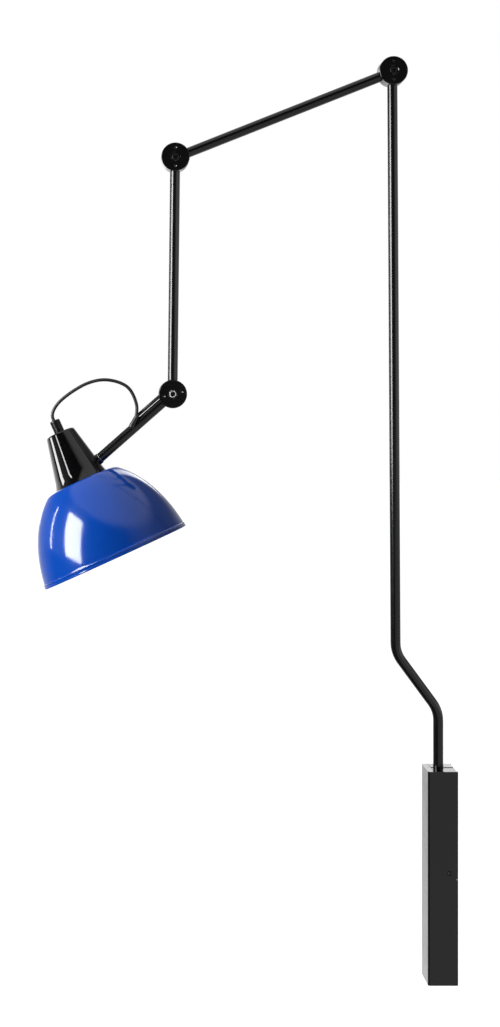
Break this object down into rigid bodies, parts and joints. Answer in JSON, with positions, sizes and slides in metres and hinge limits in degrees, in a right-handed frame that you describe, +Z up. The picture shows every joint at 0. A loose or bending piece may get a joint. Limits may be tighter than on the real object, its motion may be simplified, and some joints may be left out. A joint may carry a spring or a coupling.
{
  "type": "articulating wall lamp",
  "caption": "Wall lamp with a cranked post that swivels in a slim wall box, three disc joints, a short head arm with a free cable loop, and a bell shade on a turning cone.",
  "frame": {"origin": "centre of the wall box's back, on the wall plane", "axes": "+Z up along the wall, +X into the wall so that the lamp reaches out along -X, the arm's hinges turn about Y"},
  "size_m": [0.4999, 0.1832, 1.106],
  "materials": {
    "black_powder_coat": "satin black powder coat on steel tube and sheet",
    "black_joint_enamel": "semi-matt black enamel on turned steel",
    "black_screw": "blackened steel",
    "zinc_screw": "zinc-plated steel",
    "zinc_sheet": "zinc-plated steel sheet",
    "bearing_block_casting": "plain cast aluminium",
    "bush_plastic": "natural bearing plastic",
    "bright_ring": "bright steel ring",
    "cable_sheath": "black cable sheath, slight sheen",
    "black_rubber": "moulded black rubber",
    "black_plastic": "moulded black plastic",
    "terminal_plastic": "natural terminal block plastic",
    "black_gloss_paint": "high-gloss black paint on spun aluminium",
    "blue_gloss_paint": "high-gloss blue paint on spun aluminium, pale paint inside",
    "brass_shell": "pressed brass",
    "cap_metal": "bare pressed aluminium",
    "opal_glass": "opal glass"
  },
  "bodies": {
    "wall_box": {"wall_bracket": "zinc_sheet", "box_cover": "black_powder_coat", "cover_screws": "black_screw", "upper_bearing_block": "bearing_block_casting", "lower_bearing_block": "bearing_block_casting", "bearing_block_screws": "zinc_screw", "upper_bush": "bush_plastic", "lower_bush": "bush_plastic", "swivel_stop_pin": "zinc_screw", "entry_grommet": "black_rubber", "terminal_block": "terminal_plastic", "terminal_screws": "zinc_screw", "box_cable_tail": "cable_sheath"},
    "post": {"post_tube": "black_powder_coat", "post_collar": "zinc_sheet", "collar_set_screw": "black_screw", "post_cable": "cable_sheath", "shoulder_front_half": "black_joint_enamel", "shoulder_cable_loop": "cable_sheath", "shoulder_pivot_screw": "black_screw", "shoulder_spring_washer": "zinc_screw", "shoulder_friction_washer": "bush_plastic", "shoulder_nut": "zinc_screw"},
    "upper_arm": {"upper_arm_tube": "black_powder_coat", "shoulder_back_half": "black_joint_enamel", "elbow_back_half": "black_joint_enamel", "upper_arm_cable": "cable_sheath", "elbow_cable_loop": "cable_sheath", "elbow_pivot_screw": "black_screw", "elbow_spring_washer": "zinc_screw", "elbow_friction_washer": "bush_plastic", "elbow_nut": "zinc_screw"},
    "lower_arm": {"lower_arm_tube": "black_powder_coat", "elbow_front_half": "black_joint_enamel", "wrist_back_half": "black_joint_enamel", "lower_arm_cable": "cable_sheath", "wrist_pivot_screw": "zinc_screw", "wrist_spring_washer": "zinc_screw", "wrist_friction_washer": "bush_plastic", "wrist_nut": "zinc_screw"},
    "head_arm": {"head_arm_tube": "black_powder_coat", "wrist_front_half": "black_joint_enamel", "wrist_cable_loop": "cable_sheath", "head_arm_cable": "cable_sheath", "cable_boot": "black_rubber", "cable_arch": "cable_sheath", "tube_insert": "zinc_screw", "swivel_bolt": "zinc_screw", "swivel_ring": "bright_ring"},
    "head": {"swivel_stub": "black_joint_enamel", "lampholder_cover": "black_gloss_paint", "threaded_nipple": "zinc_screw", "cord_grip": "black_plastic", "lampholder_lead": "cable_sheath", "lampholder_body": "black_plastic", "lampholder_shell": "brass_shell", "shade_ring": "black_plastic", "shade": "blue_gloss_paint", "bulb_cap": "cap_metal", "bulb_globe": "opal_glass"}
  },
  "joints": [
    {"name": "post_swivel", "type": "hinge", "parent": "wall_box", "child": "post", "pos_m": [-0.02, 0, 0], "axis": [0, 0, 1], "range_deg": [-75, 75], "deforming": ["box_cable_tail"]},
    {"name": "shoulder", "type": "hinge", "parent": "post", "child": "upper_arm", "pos_m": [-0.07511, 0, 0.962], "axis": [0, 1, 0], "range_deg": [-10, 110], "deforming": ["shoulder_cable_loop"]},
    {"name": "elbow", "type": "hinge", "parent": "upper_arm", "child": "lower_arm", "pos_m": [-0.33564, 0, 0.85885], "axis": [0, 1, 0], "range_deg": [-5, 150], "deforming": ["elbow_cable_loop"]},
    {"name": "wrist", "type": "hinge", "parent": "lower_arm", "child": "head_arm", "pos_m": [-0.3388, 0, 0.57547], "axis": [0, 1, 0], "range_deg": [-40, 60], "deforming": ["wrist_cable_loop"]},
    {"name": "head_swivel", "type": "hinge", "parent": "head_arm", "child": "head", "pos_m": [-0.3388, 0, 0.57547], "axis": [-0.7501, 0, -0.6613], "range_deg": [-96.5, 83.5], "deforming": ["cable_arch"]}
  ]
}
